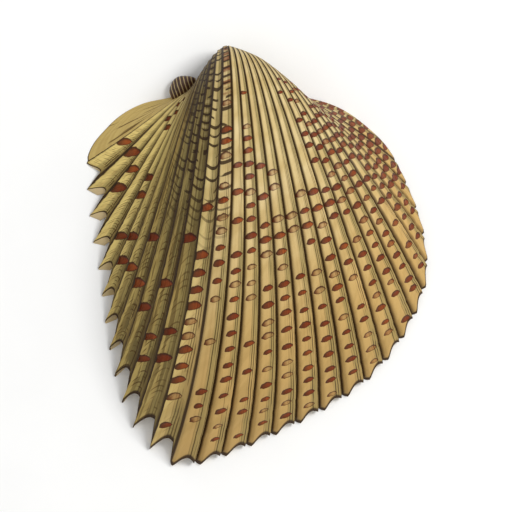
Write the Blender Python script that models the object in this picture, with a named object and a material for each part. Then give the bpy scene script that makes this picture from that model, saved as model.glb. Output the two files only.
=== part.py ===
"""A cockle shell: one right valve with a toothed margin, lying open side down, and its ligament.

Lengths are in metres. +X points to the front end of the animal, +Y to the beak and +Z up, out of the
convex side. The origin is on the surface that the shell rests on, under the middle of its box.
"""

import math

import bmesh
import bpy
from mathutils import Vector

MM = 0.001

# Margin of the valve, in millimetres, seen from above. It starts beside the ligament, goes down the
# toothed hind end, along the lower edge, up the front end and back under the beak.
OUTLINE = (
    (-12.9, 23.3), (-17.6, 22.3), (-21.8, 19.3), (-25.0, 14.2), (-24.5, 4.5), (-23.1, -3.3),
    (-21.9, -12.5), (-20.1, -20.8), (-17.3, -26.9), (-12.4, -31.0), (-5.5, -29.8), (5.7, -25.0),
    (15.5, -19.2), (21.6, -12.2), (24.9, -4.7), (25.0, 0.9), (23.8, 6.5), (20.6, 14.4),
    (17.2, 18.6), (11.5, 22.3), (3.0, 23.2), (-5.0, 23.3),
)
BOX_MIDDLE = Vector((0.236, 0.055, 0.0))  # of the finished valve, which becomes the origin
FIRST_TOOTH = 3  # the outline point at which the first tooth ends
OUTLINE_STEPS = 24  # points on the smooth curve between two outline points

# Ribs
RIBS = 30
RIB_PITCH = 4.02  # along the margin
FRONT_RIB_HEIGHT = 1.2
REAR_RIB_HEIGHT = 0.75
# The section of one rib, as shares of its pitch and of its height
RIB_STEPS = ((0.0, -0.5), (0.13, 0.38), (0.5, 0.5), (0.87, 0.32))
FRONT_RIBS_FADE = 4.0  # ribs over which the relief dies out at the front end
REAR_RIBS_FADE = (-1.5, 2.0)  # places between which it grows at the hind end

# Teeth, as lengths along the ribs that the margin falls back between two tips
REAR_TOOTH = 4.4
LOWER_TOOTH = 1.5
LAST_REAR_TOOTH = 11.4
TOOTH_CHANGE = 1.6  # ribs over which the teeth shorten
TOOTH_TIP, TOOTH_NOTCH = 0.06, 0.87  # shares of the pitch between which a tooth's edge falls back
REAR_LIFT = 0.6  # share of a notch by which its edge also rises

# Growth. Each growth line is the margin made smaller about the beak point and turned about the hinge
# axis, which runs along X through that point.
BEAK_X = -5.5
HINGE_Y = 24.4
FRONT_TURN = (1.18, 0.073)  # radians for each unit of the logarithm of size, and of its square
REAR_TURN = (0.78, 0.15)
FRONT_LEAN = 3.72  # how far the ribs bow towards the front end
REAR_LEAN = -0.7
FRONT_FORM = (5.0, 13.5)  # ribs between which the hind form gives way to the front form
BACK_FORM = (0.2, 0.75)  # shares of the way behind the beak between which it takes over again
SMALLEST = 0.085  # size of the first growth line kept, as a share of the margin
LARGEST_TURN = math.radians(171)
OUTER_LINES = 18

# Inside
MIDDLE = (0.0, -2.0)  # the point that the inner margin is drawn in towards
WALL = 2.0
HINGE_WALL = 4.3
CAVITY_HINGE_WALL = 2.6  # the hinge is thinner above its plate
HINGE_STARTS = (0.12, 0.34)  # shares of the way behind the beak over which the hinge plate widens
HINGE_ENDS = (0.67, 0.92)
HINGE_RECESS = 1.4
MOST_INWARD = 0.8  # share of the way to the middle that a thick wall may reach
PLATE_SIZES = (0.5, 0.72)  # growth lines between which the hinge plate gives way to the cavity
RECESS_SIZES = (0.3, 1.0)  # and over which the hinge draws back from the margin's plane
NOTCH_SIZES = (0.75, 1.0)  # and over which the teeth show inside
INNER_LINES = (1.0, 0.93, 0.84, 0.72, 0.59, 0.46, 0.35, 0.27)
HINGE_STATIONS = 24  # points between the last rib and the first tooth

# Hinge teeth: middle, half lengths, turn about Z in degrees
HINGE_TEETH = {
    "front_middle_tooth": ((-3.3, 20.8, 1.4), (0.95, 1.5, 1.3), -14),
    "rear_middle_tooth": ((-6.6, 20.8, 1.4), (0.75, 1.2, 1.2), 12),
    "front_side_tooth": ((6.4, 20.5, 1.5), (2.5, 0.75, 1.3), -8),
    "rear_side_tooth": ((-14.4, 20.6, 1.5), (2.2, 0.7, 1.3), 16),
}
TOOTH_SIDES = 12
TOOTH_RINGS = 8

# Ligament
LIGAMENT_FROM = (-8.85, 26.3, 1.2)
LIGAMENT_TO = (-12.75, 24.0, 1.1)
LIGAMENT_ARCH = 0.5  # how far its middle stands out of the line between its ends
LIGAMENT_WIDTH = 2.2
LIGAMENT_HEIGHT = 2.1
LIGAMENT_LATE = 1.4  # above 1, the widest place lies nearer its hind end
LIGAMENT_BLUNT = 0.45  # below 1, its ends are blunt
LIGAMENT_SIDES = 14
LIGAMENT_RINGS = 11
LIGAMENT_TIP = 0.35  # how far the first and the last ring stand in from its ends, in rings

for old in list(bpy.data.objects):
    bpy.data.objects.remove(old, do_unlink=True)


def smooth(low, high, value):
    """0 below low, 1 above high, and an S-curve between."""
    share = min(max((value - low) / (high - low), 0.0), 1.0)
    return share * share * (3 - 2 * share)


def mix(a, b, share):
    return a + (b - a) * share


def metres(place):
    """A place in the outline's millimetres as a place in the part's own frame."""
    return (place - BOX_MIDDLE) * MM


def outline_curve():
    """The margin as a closed smooth curve from the first tooth: points and their distances along it."""
    count = len(OUTLINE)
    points = []
    for i in range(count):
        p0, p1, p2, p3 = (Vector(OUTLINE[(FIRST_TOOTH + i + k) % count]) for k in (-1, 0, 1, 2))
        for step in range(OUTLINE_STEPS):
            t = step / OUTLINE_STEPS
            points.append(
                0.5 * (2 * p1 + (p2 - p0) * t + (2 * p0 - 5 * p1 + 4 * p2 - p3) * t * t
                       + (3 * p1 - p0 - 3 * p2 + p3) * t ** 3)
            )
    points.append(points[0].copy())
    along = [0.0]
    for a, b in zip(points, points[1:]):
        along.append(along[-1] + (b - a).length)
    return points, along


def at_distance(curve, distance):
    """The point of the curve this far along it, and the normal that points out of it."""
    points, along = curve
    distance %= along[-1]
    i = next(k for k in range(1, len(along)) if along[k] >= distance)
    share = (distance - along[i - 1]) / (along[i] - along[i - 1])
    run = points[(i + 1) % (len(points) - 1)] - points[max(i - 2, 0)]
    return points[i - 1].lerp(points[i], share), Vector((run.y, -run.x)).normalized()


class Station:
    """One point of the margin with what the growth lines need to know there."""

    def __init__(self, curve, distance, rib, phase=0.0, height=0.0, fade=0.0):
        self.edge, self.normal = at_distance(curve, distance)
        front = smooth(*FRONT_FORM, rib)
        self.turn = [mix(r, f, front) for r, f in zip(REAR_TURN, FRONT_TURN)]
        self.lean = mix(REAR_LEAN, FRONT_LEAN, front)
        self.relief = height * fade * mix(REAR_RIB_HEIGHT, FRONT_RIB_HEIGHT, front)
        reach = (self.edge - Vector((BEAK_X, HINGE_Y))).length
        lower = smooth(LAST_REAR_TOOTH, LAST_REAR_TOOTH + TOOTH_CHANGE, rib)
        past = max(phase - TOOTH_TIP, 0.0)
        saw = REAR_TOOTH * math.sin(0.5 * math.pi * past / (TOOTH_NOTCH - TOOTH_TIP))
        arch = LOWER_TOOTH * math.sin(math.pi * past / (1 - TOOTH_TIP))
        self.notch = fade * mix(saw, arch, lower) / reach
        self.lift = mix(REAR_LIFT, 1.0, lower)
        self.wall = WALL
        self.hinge = 0.0


def stations():
    curve = outline_curve()
    found = []
    for rib in range(RIBS):
        for phase, height in RIB_STEPS:
            place = rib + phase
            fade = smooth(*REAR_RIBS_FADE, place) * smooth(0.0, FRONT_RIBS_FADE, RIBS - place)
            found.append(Station(curve, place * RIB_PITCH, place, phase, height, fade))
    start = RIBS * RIB_PITCH
    rest = curve[1][-1] - start
    for k in range(HINGE_STATIONS):
        share = k / HINGE_STATIONS
        # The hind form takes over from the front form on the way past the beak.
        rib = mix(RIBS, 0.0, smooth(*BACK_FORM, share))
        station = Station(curve, start + rest * share, rib)
        station.hinge = smooth(*HINGE_STARTS, share) * (1 - smooth(*HINGE_ENDS, share))
        found.append(station)
    for station in found:
        station.wall = mix(WALL, HINGE_WALL, station.hinge)
    return found


def grown(station, point, size, notch):
    """Where a point of the margin was when the shell was this share of its size, in millimetres."""
    shrunk = size * (1 - notch)
    age = -math.log(size * (1 - notch * station.lift))
    turn = min(station.turn[0] * age + station.turn[1] * age * age, LARGEST_TURN)
    down = point.y - HINGE_Y
    return Vector((
        BEAK_X + shrunk * (point.x - BEAK_X) + 4 * station.lean * shrunk * (1 - shrunk),
        HINGE_Y + shrunk * math.cos(turn) * down,
        -shrunk * math.sin(turn) * down,
    ))


def outer(station, size):
    return grown(station, station.edge + station.normal * station.relief, size, station.notch)


def inner(station, size):
    """A point of the inner surface: the margin drawn in by the wall, in the plane of its growth line."""
    plate = smooth(*PLATE_SIZES, size)
    wall = mix(mix(WALL, CAVITY_HINGE_WALL, station.hinge), station.wall, plate)
    inward = Vector(MIDDLE) - station.edge
    edge = station.edge + inward.normalized() * min(wall / size, MOST_INWARD * inward.length)
    place = grown(station, edge, size, station.notch * smooth(*NOTCH_SIZES, size))
    place.z += HINGE_RECESS * station.hinge * smooth(*RECESS_SIZES, size)
    return place


def extend(bm, loop, places):
    """Extrudes a closed loop of points to new places, and returns the new loop in the same order."""
    edges = [bm.edges.get((loop[i - 1], loop[i])) for i in range(len(loop))]
    made = bmesh.ops.extrude_edge_only(bm, edges=edges)["geom"]
    new = {item for item in made if isinstance(item, bmesh.types.BMVert)}
    after = []
    for vert, place in zip(loop, places):
        twin = next(e.other_vert(vert) for e in vert.link_edges if e.other_vert(vert) in new)
        twin.co = metres(place)
        after.append(twin)
    return after


def close(bm, loop):
    """Fills a loop with triangles that meet in its middle."""
    face = bm.faces.new(loop)
    bmesh.ops.poke(bm, faces=[face])


def new_object(name, bm, colour, roughness):
    bmesh.ops.recalc_face_normals(bm, faces=bm.faces)
    mesh = bpy.data.meshes.new(name)
    bm.to_mesh(mesh)
    bm.free()
    mesh.shade_smooth()
    mesh.set_sharp_from_angle(angle=math.radians(50))
    material = bpy.data.materials.new(name)
    material.use_nodes = True
    shader = material.node_tree.nodes["Principled BSDF"]
    shader.inputs["Base Color"].default_value = (*colour, 1)
    shader.inputs["Roughness"].default_value = roughness
    shader.inputs["Metallic"].default_value = 0
    mesh.materials.append(material)
    made = bpy.data.objects.new(name, mesh)
    bpy.context.scene.collection.objects.link(made)
    return made


def grow_shell():
    """The valve before its hinge teeth: growth lines from the margin to the beak, and back inside."""
    margin = stations()
    bm = bmesh.new()
    first = [bm.verts.new(metres(outer(station, 1.0))) for station in margin]
    for i in range(len(first)):
        bm.edges.new((first[i - 1], first[i]))
    loop = first
    for line in range(1, OUTER_LINES):
        size = SMALLEST ** (line / (OUTER_LINES - 1))
        loop = extend(bm, loop, [outer(station, size) for station in margin])
    close(bm, loop)
    loop = first
    for size in INNER_LINES:
        loop = extend(bm, loop, [inner(station, size) for station in margin])
    close(bm, loop)
    return new_object("valve", bm, (0.53, 0.40, 0.20), 0.5)


def hinge_tooth(name, middle, half, turn):
    """A rounded tooth of the hinge, half sunk in the hinge plate and joined to it by the valve's union."""
    bm = bmesh.new()
    bmesh.ops.create_uvsphere(bm, u_segments=TOOTH_SIDES, v_segments=TOOTH_RINGS, radius=MM)
    bmesh.ops.scale(bm, vec=half, verts=bm.verts)
    made = new_object(name, bm, (0.8, 0.76, 0.66), 0.4)
    made.location = metres(Vector(middle))
    made.rotation_euler.z = math.radians(turn)
    made.hide_render = True
    made.display_type = "WIRE"
    return made


def ligament():
    """The arched pad behind the beak: rings along a bowed line, blunt at both ends."""
    bm = bmesh.new()
    start, end = Vector(LIGAMENT_FROM), Vector(LIGAMENT_TO)
    run = (end - start).normalized()
    side = run.cross(Vector((0, 0, 1))).normalized()
    if side.y < 0:
        side.negate()
    loop = None
    for ring in range(LIGAMENT_RINGS):
        share = (ring + LIGAMENT_TIP) / (LIGAMENT_RINGS - 1 + 2 * LIGAMENT_TIP)
        arch = math.sin(math.pi * share ** LIGAMENT_LATE)
        swell = arch ** LIGAMENT_BLUNT
        middle = start.lerp(end, share) + side * LIGAMENT_ARCH * arch
        places = []
        for k in range(LIGAMENT_SIDES):
            angle = 2 * math.pi * k / LIGAMENT_SIDES
            places.append(
                middle + side * (0.5 * LIGAMENT_WIDTH * swell * math.cos(angle))
                + Vector((0, 0, 0.5 * LIGAMENT_HEIGHT * swell * math.sin(angle)))
            )
        if loop is None:
            loop = [bm.verts.new(metres(place)) for place in places]
            for k in range(LIGAMENT_SIDES):
                bm.edges.new((loop[k - 1], loop[k]))
            close(bm, loop)
        else:
            loop = extend(bm, loop, places)
    close(bm, loop)
    return new_object("ligament", bm, (0.08, 0.035, 0.015), 0.45)


valve = grow_shell()
for name, (middle, half, turn) in HINGE_TEETH.items():
    union = valve.modifiers.new(name, "BOOLEAN")
    union.operation = "UNION"
    union.solver = "EXACT"
    union.object = hinge_tooth(name, middle, half, turn)
ligament()
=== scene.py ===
# %% [markdown]
# # A cockle shell and its ligament
# One valve of a cockle lies open side down, beak up in the picture. This lesson grows it the way
# the animal does: one growth line after another, each a larger copy of the last, turned a little
# further about the hinge. First the packed solids come in. They are the frame that every piece here
# fits.

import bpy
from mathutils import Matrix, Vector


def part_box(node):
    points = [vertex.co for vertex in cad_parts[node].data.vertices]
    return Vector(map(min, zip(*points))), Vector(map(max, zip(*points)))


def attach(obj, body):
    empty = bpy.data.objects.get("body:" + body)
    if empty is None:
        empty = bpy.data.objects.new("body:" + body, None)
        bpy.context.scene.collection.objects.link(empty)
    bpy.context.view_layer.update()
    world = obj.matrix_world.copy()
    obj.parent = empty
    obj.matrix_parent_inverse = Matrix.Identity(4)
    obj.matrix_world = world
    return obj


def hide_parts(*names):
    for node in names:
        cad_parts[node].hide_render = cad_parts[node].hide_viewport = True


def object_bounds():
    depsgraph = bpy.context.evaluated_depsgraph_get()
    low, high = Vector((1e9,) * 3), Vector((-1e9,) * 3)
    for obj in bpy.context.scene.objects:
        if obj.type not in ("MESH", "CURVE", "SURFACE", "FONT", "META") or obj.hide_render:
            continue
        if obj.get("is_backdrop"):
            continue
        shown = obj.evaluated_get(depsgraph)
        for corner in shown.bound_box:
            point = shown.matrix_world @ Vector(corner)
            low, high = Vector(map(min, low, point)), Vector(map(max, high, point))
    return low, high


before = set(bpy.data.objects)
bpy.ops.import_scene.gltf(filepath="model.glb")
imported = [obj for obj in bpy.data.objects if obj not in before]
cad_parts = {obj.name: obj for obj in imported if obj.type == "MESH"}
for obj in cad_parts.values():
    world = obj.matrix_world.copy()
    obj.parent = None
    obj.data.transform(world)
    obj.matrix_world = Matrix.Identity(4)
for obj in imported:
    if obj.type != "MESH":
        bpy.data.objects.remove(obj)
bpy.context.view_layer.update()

# %% [markdown]
# ## Small helpers
# Blender's operators act on whatever is selected, and the imported solids still are. So a helper
# clears the selection before each new primitive. Lengths are thought of in millimetres here, and
# Blender counts in metres.

# %% Helpers
import math

import bmesh
import bpy
import numpy as np
from mathutils import Vector

MM = 0.001
print("one millimetre is", MM, "of Blender's metres")


def clear_selection():
    if bpy.context.object and bpy.context.object.mode != "OBJECT":
        bpy.ops.object.mode_set(mode="OBJECT")
    bpy.ops.object.select_all(action="DESELECT")


def smooth(low, high, value):
    """0 below low, 1 above high, and an S-curve between."""
    share = np.clip((value - low) / (high - low), 0.0, 1.0)
    return share * share * (3 - 2 * share)


def mix(a, b, share):
    return a + (b - a) * share


# %% [markdown]
# ## The margin
# The edge of the shell, seen from above, is a smooth closed curve. Thirty ribs stand along it at an
# even pitch. It starts at the first tooth of the hind end, runs down the hind side, along the lower
# edge, up the front end and back under the beak. It could be drawn as a Bezier curve with handles.
# A Catmull-Rom curve needs none, because it finds its way through the given places by itself.

# %% Margin curve
MARGIN = (
    (-12.9, 23.3), (-17.6, 22.3), (-21.8, 19.3), (-25.0, 14.2), (-24.5, 4.5), (-23.1, -3.3),
    (-21.9, -12.5), (-20.1, -20.8), (-17.3, -26.9), (-12.4, -31.0), (-5.5, -29.8), (5.7, -25.0),
    (15.5, -19.2), (21.6, -12.2), (24.9, -4.7), (25.0, 0.9), (23.8, 6.5), (20.6, 14.4),
    (17.2, 18.6), (11.5, 22.3), (3.0, 23.2), (-5.0, 23.3),
)
FIRST_TOOTH, POINTS_BETWEEN = 3, 24
RIBS, RIB_PITCH = 30, 4.02
BOX_MIDDLE = np.array((0.236, 0.055, 0.0))  # the middle of the shell's box, which is the origin


def margin_curve():
    """Points along the margin and the distance run to each, by a Catmull-Rom curve."""
    here = np.roll(np.array(MARGIN), -FIRST_TOOTH, axis=0)
    before, after, later = (np.roll(here, turn, axis=0) for turn in (1, -1, -2))
    t = np.linspace(0, 1, POINTS_BETWEEN, endpoint=False)[:, None, None]
    bend = 2 * before - 5 * here + 4 * after - later
    twist = 3 * here - before - 3 * after + later
    curve = 0.5 * (2 * here + (after - before) * t + bend * t ** 2 + twist * t ** 3)
    curve = curve.transpose(1, 0, 2).reshape(-1, 2)
    curve = np.vstack([curve, curve[:1]])
    run = np.linalg.norm(np.diff(curve, axis=0), axis=1)
    return curve, np.concatenate([[0.0], np.cumsum(run)])


CURVE, ALONG = margin_curve()


def margin_at(distance):
    distance = np.mod(distance, ALONG[-1])
    return np.stack([np.interp(distance, ALONG, CURVE[:, k]) for k in (0, 1)], axis=-1)


def margin_normal(distance, reach=0.3):
    run = margin_at(distance + reach) - margin_at(distance - reach)
    outward = np.stack([run[..., 1], -run[..., 0]], axis=-1)
    return outward / np.linalg.norm(outward, axis=-1, keepdims=True)


print("margin length", round(ALONG[-1], 1), "mm, ribs take", RIBS * RIB_PITCH, "mm of it")

# %% [markdown]
# ## What each column of the net knows
# The net of the shell has columns, which run from the beak to the margin, and lines, which run
# round it. Each column meets the margin at one place, and that place decides how fast it turns as
# it grows, how far its rib stands up and how deep its tooth is. On the hind ribs the margin falls
# back like the edge of a saw, and along the lower edge like a row of small arches. Every rib could
# be given its own numbers in a long table. Here they change smoothly along the margin between a few
# named values, in millimetres, and a class keeps them together.

# %% Margin columns
BEAK_X, HINGE_Y = -5.5, 24.4
FRONT_TURN, REAR_TURN = (1.18, 0.073), (0.78, 0.15)
FRONT_LEAN, REAR_LEAN = 3.72, -0.7
REAR_ENDS, FRONT_STARTS = 5.0, 13.5
REAR_TOOTH, LOWER_TOOTH, LAST_REAR_TOOTH, TOOTH_CHANGE, REAR_LIFT = 4.4, 1.5, 11.4, 1.6, 0.6
TOOTH_STARTS, SAW_RISE, SAW_RETURN = 0.06, 0.81, 0.86  # shares of a rib's width
REAR_RIBS_FADE, FRONT_RIBS_FADE = (-1.5, 2.0), 4  # the first and last ribs are lower
BACK_FORM = (0.2, 0.75)  # along the back, the front's form turns into the rear's
HINGE_STARTS, HINGE_ENDS, HINGE_BLEND = (0.12, 0.34), 0.92, 0.25  # also along the back
BACK_COLUMNS = 22  # coarse columns from the last rib round the back to the first tooth
RIB_COLUMNS = 4  # coarse columns on each rib
COLUMNS = RIBS * RIB_COLUMNS + BACK_COLUMNS


class Margin:
    """The margin at given columns, with what growth needs to know at each."""

    def __init__(self, column):
        on_back = np.clip((column - RIBS * RIB_COLUMNS) / BACK_COLUMNS, 0, 1)
        self.place = np.where(on_back > 0, RIBS, column / RIB_COLUMNS)
        distance = self.place * RIB_PITCH + on_back * (ALONG[-1] - RIBS * RIB_PITCH)
        self.edge, self.normal = margin_at(distance), margin_normal(distance)
        rib = np.where(on_back > 0, mix(RIBS, 0, smooth(*BACK_FORM, on_back)), self.place)
        self.front = smooth(REAR_ENDS, FRONT_STARTS, rib)
        self.turn = [mix(a, b, self.front) for a, b in zip(REAR_TURN, FRONT_TURN)]
        self.lean = mix(REAR_LEAN, FRONT_LEAN, self.front)
        self.across = np.mod(self.place, 1.0)
        self.fade = smooth(*REAR_RIBS_FADE, self.place) * smooth(0, FRONT_RIBS_FADE, RIBS - self.place)
        self.fade = np.where(on_back > 0, 0.0, self.fade)
        lower = smooth(LAST_REAR_TOOTH, LAST_REAR_TOOTH + TOOTH_CHANGE, rib)
        past = np.clip(self.across - TOOTH_STARTS, 0, 1)
        saw = REAR_TOOTH * np.sin(0.5 * np.pi * np.clip(past / SAW_RISE, 0, 1))
        saw = saw * (1 - smooth(SAW_RETURN, 1.0, self.across))
        arch = LOWER_TOOTH * np.sin(np.pi * past / (1 - TOOTH_STARTS))
        reach = np.linalg.norm(self.edge - (BEAK_X, HINGE_Y), axis=-1)
        self.notch = self.fade * mix(saw, arch, lower) / reach
        self.lift = mix(REAR_LIFT, 1.0, lower)
        self.hinge = smooth(*HINGE_STARTS, on_back) * smooth(0, HINGE_BLEND, HINGE_ENDS - on_back)
        self.back = on_back


print("net:", COLUMNS, "coarse columns,", BACK_COLUMNS, "of them on the back")

# %% [markdown]
# ## The rule of growth
# A shell could be sculpted, or spun like a bowl, but then its ribs wouldn't all run to the beak. A
# bivalve keeps its shape as it grows, so here every growth line is the margin made smaller about
# the beak point and turned about the hinge axis. The front ribs turn faster and bow forward and the
# hind ribs turn slowly, and that makes the high round back with a steep slope down to the flat hind
# end.

# %% Growth rule
LARGEST_TURN = math.radians(171)


def grown(margin, point, size, notch):
    """Where points of the margin were when the shell was this share of its size, in metres."""
    shrunk = size * (1 - notch)
    age = -np.log(size * (1 - notch * margin.lift))
    turn = np.minimum(margin.turn[0] * age + margin.turn[1] * age ** 2, LARGEST_TURN)
    down = point[..., 1] - HINGE_Y
    x = BEAK_X + shrunk * (point[..., 0] - BEAK_X) + 4 * margin.lean * shrunk * (1 - shrunk)
    y = HINGE_Y + shrunk * np.cos(turn) * down
    z = -shrunk * np.sin(turn) * down
    return (np.stack([x, y, z], axis=-1) - BOX_MIDDLE) * MM


middle_column = Margin(np.array([60.0]))
half_grown = grown(middle_column, middle_column.edge, 0.5, middle_column.notch)[0] / MM
print("at half its size the middle rib ended at", np.round(half_grown, 1), "mm")

# %% [markdown]
# ## The first ring
# The beak is the oldest part of a shell, so the valve starts there with a small ring. Each point
# goes where the rule of growth has it. The ring is left open at one column, so that each point can
# carry its own place along the margin. One could look such places up later from where the points
# lie, but two number layers keep them exactly: the column round the shell and the line from beak to
# margin.

# %% First ring
OUTER_LINES, RIM_LINES, INNER_LINES = 35, 2, 6
LINES = OUTER_LINES + RIM_LINES + INNER_LINES
FIRST_SIZE, ROUGH_TURN, ROUGH_INWARD = 0.085, math.radians(150), 0.93
beak_point = Vector((np.array((BEAK_X, HINGE_Y, 0.0)) - BOX_MIDDLE) * MM)
clear_selection()
bpy.ops.mesh.primitive_circle_add(vertices=COLUMNS + 1, radius=2 * MM, location=beak_point)
valve = bpy.context.object
valve.name = valve.data.name = "shell_valve"
bpy.ops.object.transform_apply(location=True, rotation=True, scale=True)
for layer in ("column", "line"):
    valve.data.attributes.new(layer, "FLOAT", "POINT")
all_columns = Margin(np.arange(COLUMNS + 1.0))
first_ring = grown(all_columns, all_columns.edge, FIRST_SIZE, 0 * all_columns.notch)
bpy.ops.object.mode_set(mode="EDIT")
bm = bmesh.from_edit_mesh(valve.data)
bm.verts.ensure_lookup_table()
bm.edges.remove(next(e for e in bm.edges if {v.index for v in e.verts} == {0, COLUMNS}))
column_layer = bm.verts.layers.float["column"]
for vert in bm.verts:
    vert[column_layer] = vert.index
    vert.co = first_ring[vert.index]
bmesh.update_edit_mesh(valve.data)
ring_spans = np.round(np.ptp(first_ring, axis=0) / MM, 1)
print("first ring:", len(valve.data.vertices), "points, spans", ring_spans, "mm")

# %% [markdown]
# ## Rough the valve out by hand
# A ready grid could be bent into a shell. Extruding it from the beak is how the animal works, and
# the edge loops then follow the growth lines. At each extrusion the new edge loop is made larger
# about the beak and turned back about the hinge. After the last one the loop is the margin. Two
# more loops cross the thick rim, and six go back up inside.

# %% Rough valve
growth_step = FIRST_SIZE ** (-1 / OUTER_LINES)
turn_step = ROUGH_TURN / OUTER_LINES
bpy.ops.mesh.select_all(action="SELECT")
for line in range(1, LINES + 1):
    bpy.ops.mesh.extrude_edges_indiv()
    bm = bmesh.from_edit_mesh(valve.data)
    line_layer = bm.verts.layers.float["line"]
    for vert in bm.verts:
        if vert.select:
            vert[line_layer] = line
    bmesh.update_edit_mesh(valve.data)
    inward = line > OUTER_LINES
    scale = ROUGH_INWARD if inward else growth_step
    bpy.ops.transform.resize(value=(scale,) * 3, center_override=beak_point)
    bpy.ops.transform.rotate(value=-turn_step if inward else turn_step, orient_axis="X",
                             center_override=beak_point)
bpy.ops.object.mode_set(mode="OBJECT")
print("rough valve:", len(valve.data.vertices), "points in", LINES, "lines")

# %% [markdown]
# ## Divide it finely
# The round shoulders of a rib need more faces. The usual Subdivision Surface would pull the teeth
# and the beak in. Its simple mode only cuts every face, here in sixteen, and spreads the layers'
# numbers evenly between. Now there are sixteen columns on a rib and a growth line about every half
# millimetre.

# %% Fine valve
LEVELS = 2
clear_selection()
valve.select_set(True)
bpy.context.view_layer.objects.active = valve
cut = valve.modifiers.new("finer", "SUBSURF")
cut.subdivision_type = "SIMPLE"
cut.levels = cut.render_levels = LEVELS
bpy.ops.object.modifier_apply(modifier=cut.name)


def layer_numbers(mesh, name):
    found = np.zeros(len(mesh.vertices), np.float32)
    mesh.attributes[name].data.foreach_get("value", found)
    return found


FINER = 2 ** LEVELS
column_of = np.rint(layer_numbers(valve.data, "column") * FINER).astype(int)
line_of = np.rint(layer_numbers(valve.data, "line") * FINER).astype(int)
print("fine valve:", len(valve.data.polygons), "faces in", column_of.max(), "columns")

# %% [markdown]
# ## The relief of the outside
# The ribs have round shoulders and slightly crowned tops, with narrow grooves between. Low steps
# cross them where growth paused. An image of heights could say this, but it would be a file of its
# own, and two short sums say it too: one across the ribs and one along them.

# %% Relief
REAR_RIB_HEIGHT, FRONT_RIB_HEIGHT = 0.75, 1.2
SHOULDERS, CREST = (0.15, 0.17), 0.1  # shares of a rib's width, and of its height
STEP_HEIGHT, STEPS_ON_BACK = 0.018, 0.35
FINE_STEPS = ((0.9, 11.3, 0.2), (0.6, 17.9, 0.7), (0.8, 26.1, 0.4), (0.7, 37.7, 0.1))
REST_WIDTH = 0.006
RESTS = ((0.46, -0.06), (0.63, -0.09), (0.765, -0.12), (0.86, -0.08), (0.935, -0.12))
fine_outer, fine_rim, fine_inner = (FINER * n for n in (OUTER_LINES, RIM_LINES, INNER_LINES))
fine = Margin(np.arange(COLUMNS * FINER + 1.0) / FINER)
fine_columns = len(fine.place)


def rib_profile(across):
    """The height across one rib, from -0.5 in its grooves to 0.5 on its crest."""
    shoulders = smooth(0, SHOULDERS[0], across) * smooth(0, SHOULDERS[1], 1 - across)
    return -0.5 + shoulders * (1 - CREST + CREST * np.sin(np.pi * across))


def growth_steps(size):
    """Low steps across the ribs, in millimetres: many faint ones and a few where growth rested."""
    steps = sum(high * np.sin(2 * np.pi * (pace * size + start)) for high, pace, start in FINE_STEPS)
    rests = sum(depth * np.exp(-((size - at) / REST_WIDTH) ** 2) for at, depth in RESTS)
    return STEP_HEIGHT * steps + rests


heights = np.round(REAR_RIB_HEIGHT * rib_profile(np.linspace(0, 1, 9)), 2)
print("across a hind rib:", heights, "mm")

# %% [markdown]
# ## Settle every point by the rule of growth
# The rough extrusions only gave the valve its grid. Here each point of the outside is put where the
# rule of growth has it, with its relief. A Displace modifier could raise the ribs, but along the
# normals of the rough mesh, which don't follow the growth. The very tip of the beak is rounded off.

# %% Outer surface
TIP_ROWS, TIP_BULGE = 3, 0.35  # fine lines that round off the very tip of the beak


def outer_place(size):
    """The outer surface on one growth line, in metres."""
    relief = rib_profile(fine.across) * fine.fade * mix(REAR_RIB_HEIGHT, FRONT_RIB_HEIGHT, fine.front)
    relief = relief + growth_steps(size) * mix(STEPS_ON_BACK, 1.0, fine.fade)
    return grown(fine, fine.edge + fine.normal * relief[:, None], size, fine.notch)


places = np.zeros((LINES * FINER + 1, fine_columns, 3))
line_size = np.zeros(LINES * FINER + 1)
for row in range(TIP_ROWS, fine_outer + 1):
    line_size[row] = mix(FIRST_SIZE, 1.0, (row - TIP_ROWS) / (fine_outer - TIP_ROWS))
    places[row] = outer_place(line_size[row])
tip_ring = places[TIP_ROWS]
tip_middle = tip_ring[:-1].mean(axis=0)
tip_out = np.array(beak_point) - tip_middle
tip_out *= TIP_BULGE * np.linalg.norm(tip_ring - tip_middle, axis=1).mean() / np.linalg.norm(tip_out)
for row in range(TIP_ROWS):
    angle = 0.5 * math.pi * row / TIP_ROWS
    places[row] = tip_middle + (tip_ring - tip_middle) * math.sin(angle) + tip_out * math.cos(angle)
    line_size[row] = FIRST_SIZE * math.sin(angle)
print("outer surface spans", np.round(np.ptp(places[:fine_outer + 1], axis=(0, 1)) * 1000, 2), "mm")

# %% [markdown]
# ## Strings of flecks
# Each rib carries a row of red-brown flecks, like beads on a string. The rows are dense at the
# front, start half way down on the middle ribs and are sparse on the hind ribs. Two ribs beside the
# dark slope have them from nearer the beak, and two behind it have a few small ones. They could be
# scattered in the material alone, which is quicker. But a fleck stands a little proud and slants
# its own way, so its place is settled here, and a fixed seed draws the spacing.

# %% Flecks
FLECK_ROWS = RIBS + 3  # three rows more lie on the smooth front slope, past the last rib
EARLY_RIBS, SPECKLED_RIBS = (12, 14), (2, 3)  # these have flecks nearer to the beak than the rest
FIRST_MIDDLE_RIB = 11
BACK_PLACES = 12  # the back counts as twelve ribs more
FLECK_MIDDLE = 0.44  # how far across its rib a fleck's middle lies
FLECK_START, FLECK_END = (0.1, 0.13), 0.985  # shares of the way from the beak to the margin
BEAK_SPACING, HIND_SPACING, FRONT_SPACING = 1.2, 5.0, (2.9, 2.4)  # mm from one bead to the next
UNEVEN_SPACING, UNEVEN_SIZE = (0.85, 1.18), (0.85, 1.15)
fleck_dice = np.random.default_rng(11)


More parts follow.
